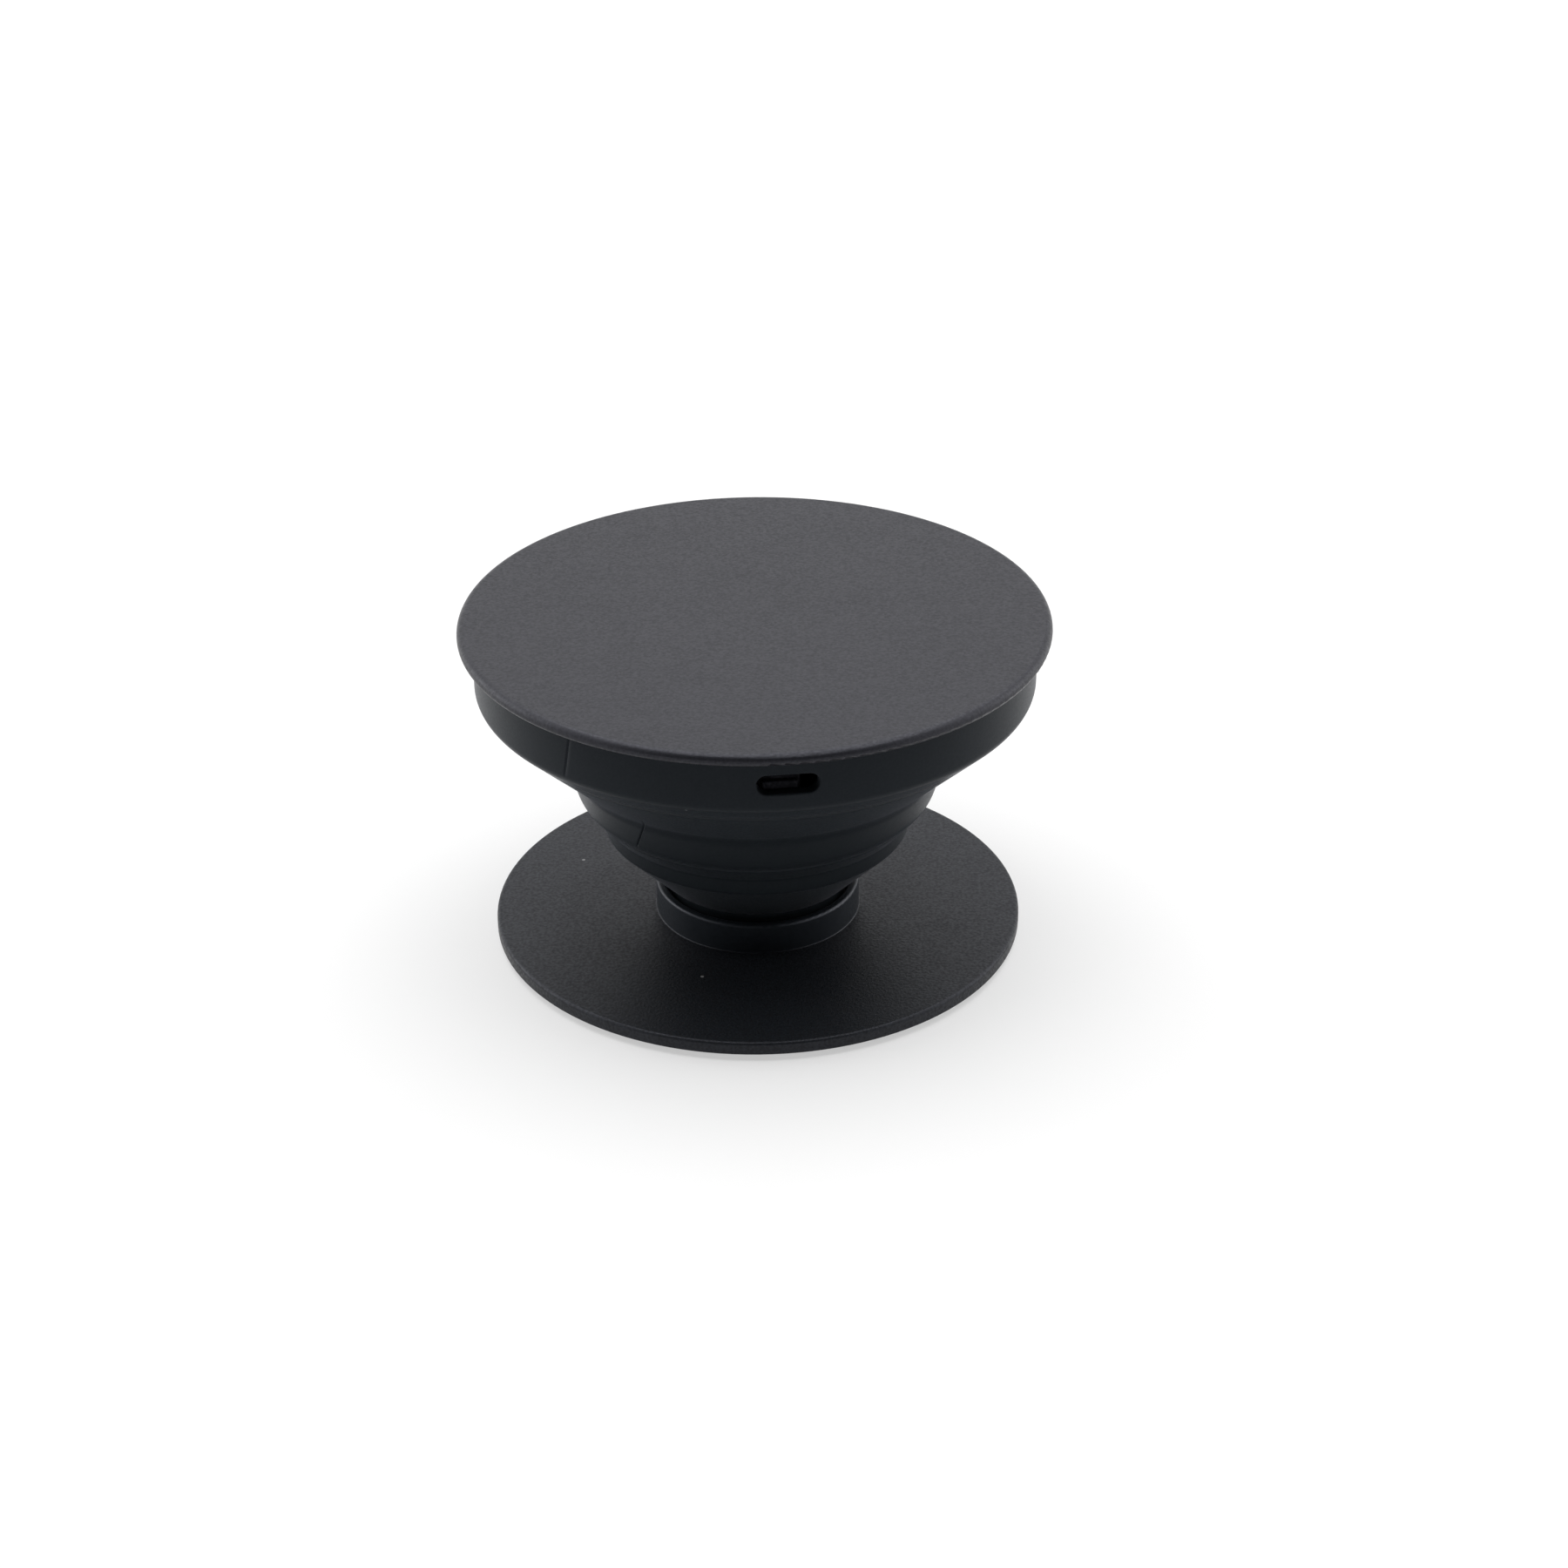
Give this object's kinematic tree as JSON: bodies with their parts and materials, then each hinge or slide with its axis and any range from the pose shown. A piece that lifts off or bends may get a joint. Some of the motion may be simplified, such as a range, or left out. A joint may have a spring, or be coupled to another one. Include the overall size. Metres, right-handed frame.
{
  "type": "collapsible phone grip",
  "caption": "Collapsible phone grip: a flat round disc on a folding rubber accordion neck that swivels in the collar of a round adhesive base.",
  "frame": {"origin": "centre of the adhesive face under the base", "axes": "+Z along the turning axis, from the adhesive face up to the disc; -Y is the side with the vent slot"},
  "size_m": [0.04, 0.04, 0.0237],
  "materials": {
    "disc_plastic": "fine matte moulded black plastic",
    "accordion_rubber": "satin black thermoplastic rubber",
    "base_plastic": "speckled spark-textured black plastic",
    "plug_plastic": "plain moulded black plastic",
    "adhesive_foam": "dull black foam tape"
  },
  "bodies": {
    "base": {"base_plate": "base_plastic", "foot_plug": "plug_plastic", "adhesive_pad": "adhesive_foam"},
    "neck": {"accordion": "accordion_rubber"},
    "head": {"top_disc": "disc_plastic"}
  },
  "joints": [
    {"name": "swivel", "type": "hinge", "parent": "base", "child": "neck", "pos_m": [0, 0, 0], "axis": [0, 0, 1], "continuous": true},
    {"name": "collapse", "type": "slide", "parent": "neck", "child": "head", "axis": [0, 0, 1], "range_m": [-0.016, 0], "deforming": ["accordion"]}
  ]
}
